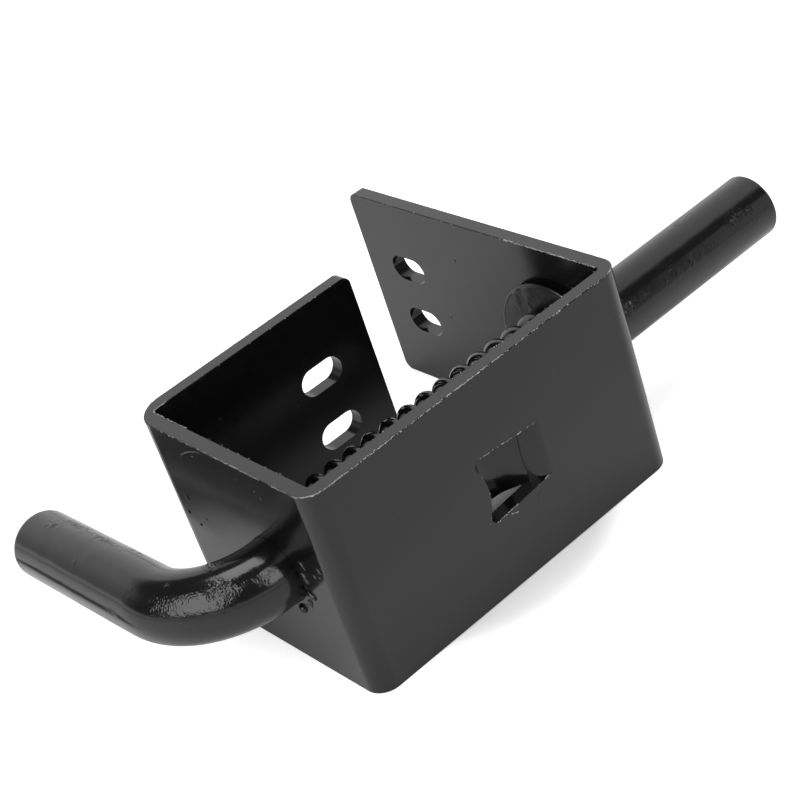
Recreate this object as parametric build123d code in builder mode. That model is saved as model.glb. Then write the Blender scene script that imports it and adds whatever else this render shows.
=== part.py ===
from build123d import *
import os
from math import radians, tan

# A spring latch for a trailer gate. A bent plate bracket wraps the corner of a post.
# A round latch rod slides and turns in it, and a compression spring keeps it out.
# +X runs along the rod to its bolt end, +Y runs back to the post, and +Z is up,
# square to the edges of the plate. The origin is on the rod's axis, in the outer
# face of the leg that the bolt comes out of.

os.makedirs("parts", exist_ok=True)

# Driving dimensions of the plate bracket, in millimetres and degrees
plate = 4.5
bracket_width = 112.0
bracket_height = 65.0
side_depth = 78.2
leg_depth = 112.2
flange_reach = 75.6
bend_inner_radius = 1.0
corner_radius = 3.0
edge_break = 0.2

# Driving dimensions of the slots for the mounting bolts
slot_width = 8.4
slot_length = 14.5
slot_spacing = 19.0
slot_to_edge = 19.2

# Driving dimensions of the bridge that is lanced and pressed into the front
lance_start = 46.6
lance_lip = 3.9
lance_start_height = 21.3
lance_end_height = 16.8
lance_corner_radius = 2.0
lance_depth = 8.2
lance_wall_run = 3.7
lance_floor_run = 7.0
lance_ramp_run = 8.2
lance_ramp_rise = 5.5
lance_tail_run = 2.3
lance_shear_radius = 2.4
lance_tail_radius = 5.7
lance_floor_radius = 12.0
lance_crease_radius = 3.0

# Driving dimensions of the latch rod
rod_diameter = 20.0
rod_setback = 28.0
bolt_reach = 76.2
handle_offset = 25.7
handle_length = 83.9
handle_droop = 4.4
handle_bend_radius = 24.0
rod_end_chamfer = 1.0

# Driving dimensions of the spring and of what it pushes on
wire_diameter = 2.8
wire_sides = 8
runs_per_turn = 20
spring_diameter = 28.8
spring_turns = 15
spring_start_angle = -11.3
washer_diameter = 44.0
washer_thickness = 1.5
ring_thickness = 1.2
ring_diameter = 26.0
ring_groove_depth = 0.6
ring_gap = 7.0
ring_eye_diameter = 1.8
ring_eye_angle = 36.0

# Clearances
running_clearance = 0.1

# Places that follow from the driving dimensions
rod_radius = rod_diameter / 2
hole_radius = rod_radius + running_clearance
groove_radius = rod_radius - ring_groove_depth
front_face = -rod_setback
side_face = -bracket_width
flange_back = front_face + side_depth
leg_end = front_face + leg_depth
flange_edge = side_face + flange_reach
bottom = -bracket_height / 2
leg_inner_face = -plate
side_inner_face = side_face + plate
front_middle = front_face + plate / 2
side_middle = side_face + plate / 2
flange_middle = flange_back - plate / 2
leg_middle = -plate / 2
handle_axis = side_face - handle_offset
ring_left = leg_inner_face - ring_thickness
washer_left = ring_left - washer_thickness
spring_length = washer_left - side_inner_face
spring_radius = (spring_diameter - wire_diameter) / 2
spring_pitch = spring_length / spring_turns

# The bridge is drawn along the middle of the plate's thickness: flat, down a steep
# wall, along the floor, up a ramp to a crease, and up a tail to the plate again
lance_wall_angle = Vector(lance_wall_run, lance_depth).get_angle(Vector(1, 0))
lance_tail_angle = Vector(lance_tail_run, lance_depth - lance_ramp_rise).get_angle(Vector(1, 0))
lance_wall_top = side_face + lance_start + lance_shear_radius * tan(radians(lance_wall_angle / 2))
lance_floor_start = lance_wall_top + lance_wall_run
lance_floor_end = lance_floor_start + lance_floor_run
lance_crease = lance_floor_end + lance_ramp_run
lance_tail_top = lance_crease + lance_tail_run
lance_end = lance_tail_top + lance_tail_radius * tan(radians(lance_tail_angle / 2))
lance_left = side_face + lance_start

# The outline of the lance in the front face narrows from its start to its end. At its
# start the plate keeps a rounded lip, where the wall is sheared through half its thickness
with BuildSketch(Plane.XZ.offset(-front_face)) as lance_outline:
    with BuildLine():
        Polyline(
            (lance_left, -lance_start_height / 2),
            (lance_end, -lance_end_height / 2),
            (lance_end, lance_end_height / 2),
            (lance_left, lance_start_height / 2),
        )
        ThreePointArc(
            (lance_left, lance_start_height / 2),
            (lance_left + lance_lip, 0),
            (lance_left, -lance_start_height / 2),
        )
    make_face()
    fillet(lance_outline.vertices().group_by(Axis.X)[0], radius=lance_corner_radius)

with BuildPart() as bridge:
    with BuildSketch(Plane.XY.offset(-lance_start_height / 2)):
        with BuildLine():
            FilletPolyline(
                (lance_left - plate, front_middle),
                (lance_wall_top, front_middle),
                (lance_floor_start, front_middle + lance_depth),
                (lance_floor_end, front_middle + lance_depth),
                (lance_crease, front_middle + lance_depth - lance_ramp_rise),
                (lance_tail_top, front_middle),
                (lance_end + plate, front_middle),
                radius=[
                    lance_shear_radius,
                    lance_shear_radius,
                    lance_floor_radius,
                    lance_crease_radius,
                    lance_tail_radius,
                ],
            )
        trace(line_width=plate)
    extrude(amount=lance_start_height)
    extrude(lance_outline.sketch, amount=-lance_depth - plate, mode=Mode.INTERSECT)

# The bracket is one plate, bent along vertical lines
with BuildPart() as bracket:
    with BuildSketch(Plane.XY.offset(bottom)):
        with BuildLine():
            FilletPolyline(
                (flange_edge, flange_middle),
                (side_middle, flange_middle),
                (side_middle, front_middle),
                (leg_middle, front_middle),
                (leg_middle, leg_end),
                radius=bend_inner_radius + plate / 2,
            )
        trace(line_width=plate)
    extrude(amount=bracket_height)

    # The free corners of the flange and of the leg are rounded
    flange_corners = bracket.edges().filter_by(Axis.Y).group_by(SortBy.LENGTH)[0]
    leg_corners = bracket.edges().filter_by(Axis.X).group_by(SortBy.LENGTH)[0]
    fillet(flange_corners + leg_corners, radius=corner_radius)

    # The long edges of the plate are slightly broken
    rim = bracket.edges().group_by(Axis.Z)[0] + bracket.edges().group_by(Axis.Z)[-1]
    chamfer(rim, length=edge_break)

    # The rod runs through a hole in the side and a hole in the leg
    with BuildSketch(Plane.YZ.offset(side_face)):
        Circle(hole_radius)
    extrude(amount=bracket_width, mode=Mode.SUBTRACT)

    # Bolt slots, one above the other, near the free edges of the flange and the leg
    with BuildSketch(Plane.XZ.offset(-flange_back)):
        with Locations((flange_edge - slot_to_edge, 0)):
            with GridLocations(0, slot_spacing, 1, 2):
                SlotOverall(slot_length, slot_width)
    extrude(amount=plate, mode=Mode.SUBTRACT)
    with BuildSketch(Plane.YZ.offset(leg_inner_face)):
        with Locations((leg_end - slot_to_edge, 0)):
            with GridLocations(0, slot_spacing, 1, 2):
                SlotOverall(slot_length, slot_width)
    extrude(amount=plate, mode=Mode.SUBTRACT)

    # The lance is cut out of the front, and its bridge joins the plate at both ends
    extrude(lance_outline.sketch, amount=-plate, mode=Mode.SUBTRACT)
    add(bridge)
bracket.part.label = "bracket"
export_step(bracket.part, "parts/bracket.step")

# The latch rod is one round bar, with its handle bent back beside the bracket
rod_plane = Plane.XY.rotated((-handle_droop, 0, 0))
with BuildPart() as latch_rod:
    with BuildLine(rod_plane) as rod_path:
        FilletPolyline(
            (bolt_reach, 0),
            (handle_axis, 0),
            (handle_axis, handle_length),
            radius=handle_bend_radius,
        )
    with BuildSketch(Plane(rod_path.line @ 0, z_dir=rod_path.line % 0)):
        Circle(rod_radius)
    sweep()
    bolt_end = latch_rod.faces().sort_by(Axis.X)[-1]
    handle_end = latch_rod.faces().sort_by(Axis.Y)[-1]
    chamfer(bolt_end.edges() + handle_end.edges(), length=rod_end_chamfer)

    # A groove inside the leg holds the stop ring
    with BuildSketch(Plane.YZ.offset(ring_left)):
        Circle(rod_radius)
        Circle(groove_radius, mode=Mode.SUBTRACT)
    extrude(amount=ring_thickness, mode=Mode.SUBTRACT)
latch_rod.part.label = "latch_rod"
export_step(latch_rod.part, "parts/latch_rod.step")

# The stop ring is sprung into the groove through its gap, by the eyes beside it
with BuildPart() as stop_ring:
    with BuildSketch(Plane.YZ.offset(ring_left)):
        Circle(ring_diameter / 2)
        Circle(groove_radius, mode=Mode.SUBTRACT)
        with Locations((0, -ring_diameter / 2)):
            Rectangle(ring_gap, ring_diameter, mode=Mode.SUBTRACT)
        with PolarLocations((ring_diameter / 2 + groove_radius) / 2, 2, -90 - ring_eye_angle, 2 * ring_eye_angle, endpoint=True):
            Circle(ring_eye_diameter / 2, mode=Mode.SUBTRACT)
    extrude(amount=ring_thickness)
stop_ring.part.label = "stop_ring"
export_step(stop_ring.part, "parts/stop_ring.step")

# The wide washer lets the rod turn under the spring and bears on the stop ring
with BuildPart() as thrust_washer:
    with BuildSketch(Plane.YZ.offset(washer_left)):
        Circle(washer_diameter / 2)
        Circle(hole_radius, mode=Mode.SUBTRACT)
    extrude(amount=washer_thickness)
thrust_washer.part.label = "thrust_washer"
export_step(thrust_washer.part, "parts/thrust_washer.step")

# The spring is wound past both seats and ground flat on them. Its helix is followed in
# short straight runs, and its wire has flats, to keep the many turns light
with BuildPart() as spring:
    wound_length = spring_length + 2 * wire_diameter
    run_count = round(wound_length / spring_pitch * runs_per_turn)
    with BuildLine() as coil:
        winding = Helix(
            pitch=spring_pitch,
            height=wound_length,
            radius=spring_radius,
            center=(side_inner_face - wire_diameter, 0, 0),
            direction=(1, 0, 0),
            mode=Mode.PRIVATE,
        ).rotate(Axis.X, spring_start_angle)
        Polyline([winding @ (run / run_count) for run in range(run_count + 1)])
    with BuildSketch(Plane(coil.line @ 0, z_dir=coil.line % 0)):
        RegularPolygon(wire_diameter / 2, wire_sides)
    sweep(transition=Transition.RIGHT)
    with BuildSketch(Plane.YZ.offset(side_inner_face)):
        Circle(spring_diameter)
    extrude(amount=spring_length, mode=Mode.INTERSECT)
spring.part.label = "spring"
export_step(spring.part, "parts/spring.step")
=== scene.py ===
from contextlib import contextmanager
from math import cos, exp, pi, radians, sin, tan

import bmesh
import bpy
from bpy.props import FloatProperty, FloatVectorProperty, IntProperty, PointerProperty
from mathutils import Euler, Matrix, Vector, noise


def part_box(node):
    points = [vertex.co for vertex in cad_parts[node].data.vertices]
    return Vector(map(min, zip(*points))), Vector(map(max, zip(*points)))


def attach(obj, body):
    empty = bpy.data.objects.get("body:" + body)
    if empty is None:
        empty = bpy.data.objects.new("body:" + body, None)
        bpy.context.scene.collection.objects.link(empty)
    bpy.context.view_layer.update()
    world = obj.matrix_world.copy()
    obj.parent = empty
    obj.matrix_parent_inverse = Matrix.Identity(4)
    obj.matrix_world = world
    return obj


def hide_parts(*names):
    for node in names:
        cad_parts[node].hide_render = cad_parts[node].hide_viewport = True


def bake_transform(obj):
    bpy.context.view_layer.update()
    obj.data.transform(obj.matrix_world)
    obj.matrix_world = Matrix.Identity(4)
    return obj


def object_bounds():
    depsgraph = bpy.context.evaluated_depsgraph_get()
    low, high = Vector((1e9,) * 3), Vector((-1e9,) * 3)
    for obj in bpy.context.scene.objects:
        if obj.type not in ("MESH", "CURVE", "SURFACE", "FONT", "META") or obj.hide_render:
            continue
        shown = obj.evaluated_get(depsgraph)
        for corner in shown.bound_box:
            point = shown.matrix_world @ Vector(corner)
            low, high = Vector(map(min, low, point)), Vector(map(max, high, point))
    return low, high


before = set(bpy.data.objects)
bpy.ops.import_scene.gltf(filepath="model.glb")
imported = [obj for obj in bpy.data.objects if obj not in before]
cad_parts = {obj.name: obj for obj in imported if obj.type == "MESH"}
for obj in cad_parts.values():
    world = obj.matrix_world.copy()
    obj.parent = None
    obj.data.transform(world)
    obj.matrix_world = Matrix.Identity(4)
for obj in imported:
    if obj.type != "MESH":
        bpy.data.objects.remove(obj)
CAD_BOX = [list(corner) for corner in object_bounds()]

bl_info = {
    "name": "Gate Spring Latch",
    "version": (1, 0, 0),
    "blender": (4, 5, 0),
    "location": "3D View > Sidebar > Latch",
    "description": "Dresses a gate spring latch: bracket, latch rod, spring, washer, paint and studio",
    "category": "Add Mesh",
}

# Units, and the boxes of the solids that the pieces follow
MM = 0.001
BRACKET_LOW, BRACKET_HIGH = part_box("bracket")
ROD_LOW, ROD_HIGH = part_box("latch_rod")
SPRING_LOW, SPRING_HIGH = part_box("spring")
WASHER_LOW, WASHER_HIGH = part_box("thrust_washer")
RING_LOW, RING_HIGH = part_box("stop_ring")


# Sizes and colours that a user would change

def length(name, description, default):
    """A length property, given in millimetres."""
    return FloatProperty(name=name, description=description, default=default * MM, min=0,
                         unit="LENGTH", precision=5)


def slope(name, description, default):
    """An angle property, given in degrees."""
    return FloatProperty(name=name, description=description, default=radians(default), subtype="ANGLE")


def number(name, description, default, **limits):
    """A plain number property, from 0 unless the limits say otherwise."""
    return FloatProperty(name=name, description=description, default=default, **{"min": 0, **limits})


def whole(name, description, default, low=0):
    """A whole number property."""
    return IntProperty(name=name, description=description, default=default, min=low)


def hue(name, description, default):
    """A colour property."""
    return FloatVectorProperty(name=name, description=description, default=default, size=3,
                               subtype="COLOR", min=0, max=1)


def spot(name, description, default):
    """A place property, given in metres."""
    return FloatVectorProperty(name=name, description=description, default=default, size=len(default),
                               subtype="TRANSLATION", precision=5)


class LATCH_PG_bracket(bpy.types.PropertyGroup):
    """Sizes of the bent plate."""
    edge_rounding: length("Edge rounding", "Radius that the paint gives to a cut edge", 0.12)
    paint_room: length("Paint room", "Room under the solid's face for the specks in the paint", 0.06)
    plate: length("Plate", "Thickness of the plate", 4.5)
    edge_break: length("Edge break", "How far the solid's long edges are broken", 0.2)
    bend_inside: length("Inside of the bends", "Inner radius of the three bends", 1.0)
    flange_bend: length("Flange bend", "Outer radius of the bend beside the flange", 9.5)
    front_bend: length("Front bend", "Outer radius of the bend between the side and the front", 6.0)
    leg_bend: length("Leg bend", "Outer radius of the bend between the front and the leg", 7.0)
    side_depth: length("Side depth", "From the front face to the back face of the flange", 78.2)
    flange_reach: length("Flange reach", "From the side's outer face to the flange's free edge", 75.6)
    lance_start: length("Lance start", "From the side's outer face to the start of the lance", 46.6)
    lance_end: length("Lance end", "From the side's outer face to the end of the lance", 71.2)
    lance_start_height: length("Lance start height", "Height of the lance at its start", 21.3)
    lance_end_height: length("Lance end height", "Height of the lance at its end", 16.8)
    lance_lip: length("Lance lip", "How far the lip at the lance's start reaches into it", 3.9)
    merge_distance: length("Merge distance", "Corners nearer than this are one", 0.005)
    flat_angle: slope("Flat angle", "Faces nearer in slope than this are one", 0.6)
    sharp_angle: slope("Sharp angle", "Edges sharper than this are rounded", 28)


class LATCH_PG_rod(bpy.types.PropertyGroup):
    """Sizes of the latch rod, and of the paint on it."""
    diameter: length("Diameter", "Diameter of the round bar", 20.0)
    bend_radius: length("Bend radius", "Radius of the bend along the bar's middle", 24.0)
    droop: slope("Droop", "How far the handle points below level", 4.4)
    groove_depth: length("Groove depth", "Depth of the groove that holds the stop ring", 0.6)
    end_rounding: length("End rounding", "Radius at the rim of both ends", 1.0)
    step: length("Step", "Distance between the rings of the mesh", 0.55)
    sides: whole("Sides", "Faces around the bar", 112, low=12)
    wave_size: length("Wave size", "Size of the slow waves in the paint", 6.0)
    wave_height: length("Wave height", "Height of the slow waves in the paint", 0.028)
    ripple_size: length("Ripple size", "Size of the ripples in the paint", 2.0)
    ripple_height: length("Ripple height", "Height of the ripples in the paint", 0.006)


class LATCH_PG_spring(bpy.types.PropertyGroup):
    """Sizes of the compression spring."""
    wire: length("Wire", "Diameter of the spring wire", 2.8)
    turns: whole("Turns", "Turns between the two seats", 15, low=1)
    start: slope("Start", "Where the wire stands at its first end, from +Y towards +Z", 78.7)
    steps: whole("Steps", "Faces along each turn", 64, low=8)
    wire_sides: whole("Wire sides", "Faces around the wire", 18, low=6)


class LATCH_PG_washer(bpy.types.PropertyGroup):
    """Sizes of the washer under the spring, and of the paint on it."""
    bore_room: length("Bore room", "Room between the washer and the rod", 0.1)
    rim_rounding: length("Rim rounding", "Radius at the washer's rims", 0.7)
    lump_size: length("Lump size", "Size of the lumps in the paint", 4.2)
    lump_height: length("Lump height", "Height of the lumps in the paint", 0.26)
    crinkle: number("Crinkle", "How crinkled the paint is under the spring", 0.15, max=1)
    sides: whole("Sides", "Faces around the washer", 144, low=24)
    rings: whole("Rings", "Rings of faces on the washer's face", 28, low=4)


class LATCH_PG_paint(bpy.types.PropertyGroup):
    """The gloss black paint, its dust and its chips."""
    colour: hue("Paint", "Colour of the paint", (0.0036, 0.0036, 0.0038))
    steel: hue("Bare steel", "Colour of the steel in a chip", (0.62, 0.61, 0.60))
    roughness: number("Roughness", "Roughness of the paint", 0.14, max=1)
    peel_size: length("Peel size", "Size of the orange peel", 1.4)
    peel_height: length("Peel height", "Height of the orange peel", 0.0016)
    sag_size: length("Sag size", "Size of the slow sags in the paint", 17.0)
    sag_height: length("Sag height", "Height of the slow sags in the paint", 0.012)
    chip_spacing: length("Chip spacing", "Distance between chips along an edge", 0.17)
    chip_size: length("Chip size", "Half length of a chip", 0.27)
    chip_aside: length("Chips aside", "How far a chip may stand from its edge", 0.16)
    nib_size: length("Nib size", "Radius of a speck of dust in the paint", 0.26)
    nib_density: number("Nib density", "Specks on each square metre", 4200)
    seed: whole("Seed", "Seed of the chips and specks", 7)


class LATCH_PG_stage(bpy.types.PropertyGroup):
    """Camera, table and lights."""
    eye: spot("Camera place", "Where the camera stands", (-0.28681, -0.37921, 0.29507))
    turn: FloatVectorProperty(name="Camera turn", description="How the camera is turned", size=3,
                              default=[radians(part) for part in (56.536, 16.316, -41.272)], subtype="EULER")
    lens: number("Lens", "Focal length on a 36 mm sensor", 89.17, min=10)
    table: hue("Table", "Colour of the table", (0.80, 0.80, 0.80))
    table_glow: number("Table glow", "What lifts the table to white for the eye", 0.55)
    # The dark patch and the dark board below are painted shadow of the handle on the table; only reflections
    # show them
    patch: spot("Dark patch", "Middle of the dark patch on the table that the side reflects", (-0.152, 0.108))
    shadow_patch_reach: length("Patch reach", "How far the dark patch reaches", 50.0)
    shadow_strip: spot("Dark board", "Middle of the dark board on the table beyond the handle", (-0.165, 0.095))
    shadow_strip_half: spot("Board size", "Half the width and half the depth of the dark board", (0.0245, 0.05))
    shadow_patch_light: number("Patch light", "Share of the light that is left in the patch", 0.12, max=1)
    room: number("Room", "Brightness of the dark room above the table", 0.12)
    backdrop: number("Backdrop", "Brightness of the backdrop behind and to the right", 1.15)
    card: number("Card", "Brightness of the card that stands in front to the right", 0.74)
    card_away: length("Card distance", "How far in front of the rod the card stands", 500.0)
    distance: length("Lamp distance", "Distance of the lamps from the latch", 1200.0)


GROUPS = {
    "bracket": LATCH_PG_bracket,
    "rod": LATCH_PG_rod,
    "spring": LATCH_PG_spring,
    "washer": LATCH_PG_washer,
    "paint": LATCH_PG_paint,
    "stage": LATCH_PG_stage,
}


def settings(name):
    """The scene's property group of that name."""
    return getattr(bpy.context.scene, "latch_" + name)


# Nodes

def connect(tree, socket, value):
    """Sets a socket to a plain value, or links another socket to it."""
    if isinstance(value, bpy.types.NodeSocket):
        tree.links.new(value, socket)
    else:
        socket.default_value = value


def feed(tree, node, *values, **named):
    """Gives values to a node: named ones to the input or attribute of that name, with underscores
    for spaces, and the others to its inputs in turn."""
    for name, value in named.items():
        label = name.replace("_", " ")
        if label in node.inputs:
            connect(tree, node.inputs[label], value)
        else:
            setattr(node, name, value)
    for socket, value in zip(node.inputs, values):
        connect(tree, socket, value)


def add_node(tree, kind, *values, **named):
    """A new node that is fed with values. Nodes stand in a row, in the order in which they are added."""
    node = tree.nodes.new(kind)
    node.location.x = 200 * len(tree.nodes)
    feed(tree, node, *values, **named)
    return node


def math_node(tree, operation, *values, clamp=False):
    """What a Math node makes of its operands. Each is a number or a socket."""
    return add_node(tree, "ShaderNodeMath", *values, operation=operation, use_clamp=clamp).outputs[0]


def noise_node(tree, vector, size, detail=2.0, roughness=0.5):
    """Noise with features of a given size in metres, or of the size that a socket gives."""
    scale = 1 / size if isinstance(size, float) else math_node(tree, "DIVIDE", 1.0, size)
    node = add_node(tree, "ShaderNodeTexNoise", Vector=vector, Scale=scale, Detail=detail,
                    Roughness=roughness)
    return node.outputs["Fac"]


def smooth_step(tree, value, low, high):
    """0 below low, 1 above high, smooth between. Low may be the greater."""
    node = add_node(tree, "ShaderNodeMapRange", interpolation_type="SMOOTHSTEP", Value=value,
                    From_Min=low, From_Max=high)
    return node.outputs["Result"]


def separated(tree, vector):
    """The X, Y and Z of a vector."""
    return add_node(tree, "ShaderNodeSeparateXYZ", vector).outputs


def coordinates(tree, kind="Object"):
    """Places on the surface, or directions in the world with the kind Generated."""
    return add_node(tree, "ShaderNodeTexCoord").outputs[kind]


def camera_ray(tree):
    """1 for what the camera sees itself, else 0."""
    return add_node(tree, "ShaderNodeLightPath").outputs["Is Camera Ray"]


def random_vector(tree, low, high, seed, offset):
    """A random vector for each point, between two corners."""
    draw = math_node(tree, "ADD", seed, float(offset))
    node = add_node(tree, "FunctionNodeRandomValue", low, high, data_type="FLOAT_VECTOR", Seed=draw)
    return node.outputs[0]


def scaled(tree, vector, size):
    """A vector times a number."""
    return add_node(tree, "ShaderNodeVectorMath", vector, operation="SCALE", Scale=size).outputs[0]


# Shader node groups

def shader_group(name, inputs, outputs):
    """An empty shader node group with named number inputs and outputs, and what it is given."""
    group = bpy.data.node_groups.new(name, "ShaderNodeTree")
    for label, value in inputs.items():
        socket = group.interface.new_socket(label, in_out="INPUT", socket_type="NodeSocketFloat")
        socket.default_value = value
    for label in outputs:
        group.interface.new_socket(label, in_out="OUTPUT", socket_type="NodeSocketFloat")
    return group, add_node(group, "NodeGroupInput").outputs


def paint_skin_group():
    """Height of the paint's skin in metres, from orange peel, slow sags and crinkles, and its haze."""
    haze_size, crinkle_haze = 0.009, 0.15
    group, given = shader_group("paint_skin", {
        "Peel Size": 0.0014, "Peel Height": 0.000002, "Sag Size": 0.017, "Sag Height": 0.00001,
        "Crinkle Size": 0.0013, "Crinkle Height": 0.0007,
    }, ("Height", "Haze"))
    place = coordinates(group)
    crinkled = add_node(group, "ShaderNodeAttribute", attribute_name="crinkle").outputs["Fac"]
    peel = noise_node(group, place, given["Peel Size"], detail=1.0)
    sag = noise_node(group, place, given["Sag Size"], detail=1.5)
    crinkle = noise_node(group, place, given["Crinkle Size"], detail=1.5)
    haze = noise_node(group, place, haze_size, detail=3.0)
    ridges = math_node(group, "ABSOLUTE", math_node(group, "SUBTRACT", crinkle, 0.5))
    folds = math_node(group, "MULTIPLY", ridges, crinkled)
    peel_part = math_node(group, "MULTIPLY", peel, given["Peel Height"])
    sag_part = math_node(group, "MULTIPLY", sag, given["Sag Height"])
    fold_part = math_node(group, "MULTIPLY", folds, given["Crinkle Height"])
    smooth_part = math_node(group, "ADD", peel_part, sag_part)
    add_node(group, "NodeGroupOutput", Height=math_node(group, "ADD", smooth_part, fold_part),
             Haze=math_node(group, "MULTIPLY_ADD", crinkled, crinkle_haze, haze))


def scuff_group():
    """A mask of short fine scuffs, drawn out along X, and scattered in patches."""
    patch_size, highest, hardness = 0.021, 1.06, 9.0
    group, given = shader_group("scuffs", {"Size": 0.0009, "Amount": 0.5}, ("Mask",))
    place = coordinates(group)
    stretch = add_node(group, "ShaderNodeMapping", Vector=place, Scale=(0.16, 1.0, 0.55),
                       Rotation=(0.2, 0.35, 0.15))
    fine = noise_node(group, stretch.outputs["Vector"], given["Size"], detail=3.0, roughness=0.7)
    patch = noise_node(group, place, patch_size)
    limit = math_node(group, "SUBTRACT", highest, math_node(group, "MULTIPLY", patch, given["Amount"]))
    over = math_node(group, "SUBTRACT", fine, limit)
    add_node(group, "NodeGroupOutput", Mask=math_node(group, "MULTIPLY", over, hardness, clamp=True))


# Materials

def new_material(name):
    """The node tree of a new material, and the Principled BSDF in it."""
    material = bpy.data.materials.new(name)
    material.use_nodes = True
    return material.node_tree, material.node_tree.nodes["Principled BSDF"]


def mixed_colour(tree, factor, first, second):
    """The first colour where the factor is 0, and the second where it is 1."""
    node = add_node(tree, "ShaderNodeMix", data_type="RGBA", Factor=factor, A=(*first, 1), B=(*second, 1))
    return node.outputs["Result"]


def gloss_black(name, peel=1.0, sag=1.0, rough=0.0, scuffs=0.62):
    """Thick gloss black paint: peel and sag scale its unevenness, and rough adds to its roughness."""
    haze_roughness, scuff_roughness, scuff_paleness = 0.10, 0.25, 4
    paint = settings("paint")
    tree, shader = new_material(name)
    skin = add_node(
        tree, "ShaderNodeGroup", node_tree=bpy.data.node_groups["paint_skin"],
        Peel_Size=paint.peel_size, Peel_Height=paint.peel_height * peel,
        Sag_Size=paint.sag_size, Sag_Height=paint.sag_height * sag,
    ).outputs
    scuff = add_node(
        tree, "ShaderNodeGroup", node_tree=bpy.data.node_groups["scuffs"], Amount=scuffs,
    ).outputs["Mask"]
    bump = add_node(tree, "ShaderNodeBump", Distance=1.0, Strength=1.0, Height=skin["Height"])
    least = paint.roughness + rough - haze_roughness / 2
    base = math_node(tree, "MULTIPLY_ADD", skin["Haze"], haze_roughness, least)
    pale = [part * scuff_paleness for part in paint.colour]
    feed(tree, shader, Normal=bump.outputs["Normal"], IOR=1.5,
         Roughness=math_node(tree, "MULTIPLY_ADD", scuff, scuff_roughness, base),
         Base_Color=mixed_colour(tree, scuff, paint.colour, pale))


def bare_steel(name):
    """Bright steel where the paint has flaked from an edge."""
    grain_size, darkest = 0.0007, 0.45
    steel = settings("paint").steel
    tree, shader = new_material(name)
    grain = noise_node(tree, coordinates(tree), grain_size)
    dark = [part * darkest for part in steel]
    feed(tree, shader, Base_Color=mixed_colour(tree, grain, dark, steel), Metallic=0.85, Roughness=0.38)


def make_finishes():
    """The shader groups and every material of the latch."""
    paint_skin_group()
    scuff_group()
    gloss_black("bracket_gloss")
    gloss_black("rod_gloss", peel=0.8, sag=0.4, scuffs=0.66)
    gloss_black("spring_gloss", peel=0.6, sag=0.0)
    gloss_black("washer_gloss", peel=1.4, sag=0.5, rough=0.16)
    gloss_black("ring_gloss", peel=0.6, sag=0.0, rough=0.1)
    bare_steel("chipped_steel")


# Meshes

def put_in_scene(name, data):
    """A new object in the scene."""
    item = bpy.data.objects.new(name, data)
    bpy.context.scene.collection.objects.link(item)
    return item


def new_object(name, mesh, material):
    """A piece at the origin, made from a mesh and one material."""
    mesh.materials.clear()
    mesh.materials.append(bpy.data.materials[material])
    return put_in_scene(name, mesh)


@contextmanager
def reworked(mesh):
    """A mesh opened for changes, which are written back to it."""
    work = bmesh.new()
    work.from_mesh(mesh)
    yield work
    work.to_mesh(mesh)
    work.free()


def cut(work, place, normal, **options):
    """Cuts an opened mesh along a plane."""
    every = work.verts[:] + work.edges[:] + work.faces[:]
    bmesh.ops.bisect_plane(work, geom=every, plane_co=place, plane_no=normal, **options)


def set_attribute(mesh, name, values):
    """Keeps a number for each point of a mesh, under a name that nodes can read."""
    layer = mesh.attributes.new(name, "FLOAT", "POINT")
    for item, value in zip(layer.data, values):
        item.value = value


def keep_inside(mesh, low, high):
    """Presses what stands out of a box flat onto it."""
    for vert in mesh.vertices:
        vert.co = [min(max(value, least), most) for value, least, most in zip(vert.co, low, high)]


def grid_mesh(name, rings, looped=False):
    """A skin over rings of points, each as long as the first. If it is looped, the last ring meets the
    first one. If not, a fan closes each end."""
    sides, rows = len(rings[0]), len(rings)
    points = [point for ring in rings for point in ring]
    faces = []
    for row in range(rows if looped else rows - 1):
        low, high = row * sides, (row + 1) % rows * sides
        for column in range(sides):
            after = (column + 1) % sides
            faces.append((low + column, low + after, high + after, high + column))
    ends = () if looped else ((0, -1), (rows - 1, 1))
    for row, turn in ends:
        points.append(sum((Vector(point) for point in rings[row]), Vector()) / sides)
        for column in range(sides):
            pair = (row * sides + column, row * sides + (column + 1) % sides)
            faces.append((*pair[::turn], len(points) - 1))
    mesh = bpy.data.meshes.new(name)
    mesh.from_pydata(points, [], faces)
    with reworked(mesh) as work:
        bmesh.ops.recalc_face_normals(work, faces=work.faces)
    mesh.shade_smooth()
    return mesh


# Geometry Nodes

def geometry_tree(name, **labels):
    """A Geometry Nodes tree with inputs named by kind, a geometry and a material, and what it is given."""
    tree = bpy.data.node_groups.new(name, "GeometryNodeTree")
    sockets = [("Geometry", "Geometry"), *((label, kind) for kind in labels for label in labels[kind])]
    for label, kind in (*sockets, ("Material", "Material")):
        tree.interface.new_socket(label, in_out="INPUT", socket_type="NodeSocket" + kind)
    tree.interface.new_socket("Geometry", in_out="OUTPUT", socket_type="NodeSocketGeometry")
    return tree, add_node(tree, "NodeGroupInput").outputs


def run_tree(tree, name, source, values):
    """The plain mesh that a tree makes from a source mesh and named input values."""
    holder = put_in_scene(name + "_holder", source)
    modifier = holder.modifiers.new(tree.name, "NODES")
    modifier.node_group = tree
    for item in tree.interface.items_tree:
        if item.in_out == "INPUT" and item.name in values:
            modifier[item.identifier] = values[item.name]
    view = bpy.context.evaluated_depsgraph_get()
    mesh = bpy.data.meshes.new_from_object(holder.evaluated_get(view))
    mesh.name = name
    holder.modifiers.clear()
    bpy.data.objects.remove(holder)
    return mesh


def finish_tree(tree, geometry, given):
    """Ends a tree: instances become real, and take the material that is given."""
    real = add_node(tree, "GeometryNodeRealizeInstances", geometry)
    paint = add_node(tree, "GeometryNodeSetMaterial", Geometry=real.outputs[0], Material=given["Material"])
    add_node(tree, "NodeGroupOutput", paint.outputs[0])
    return tree


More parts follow.
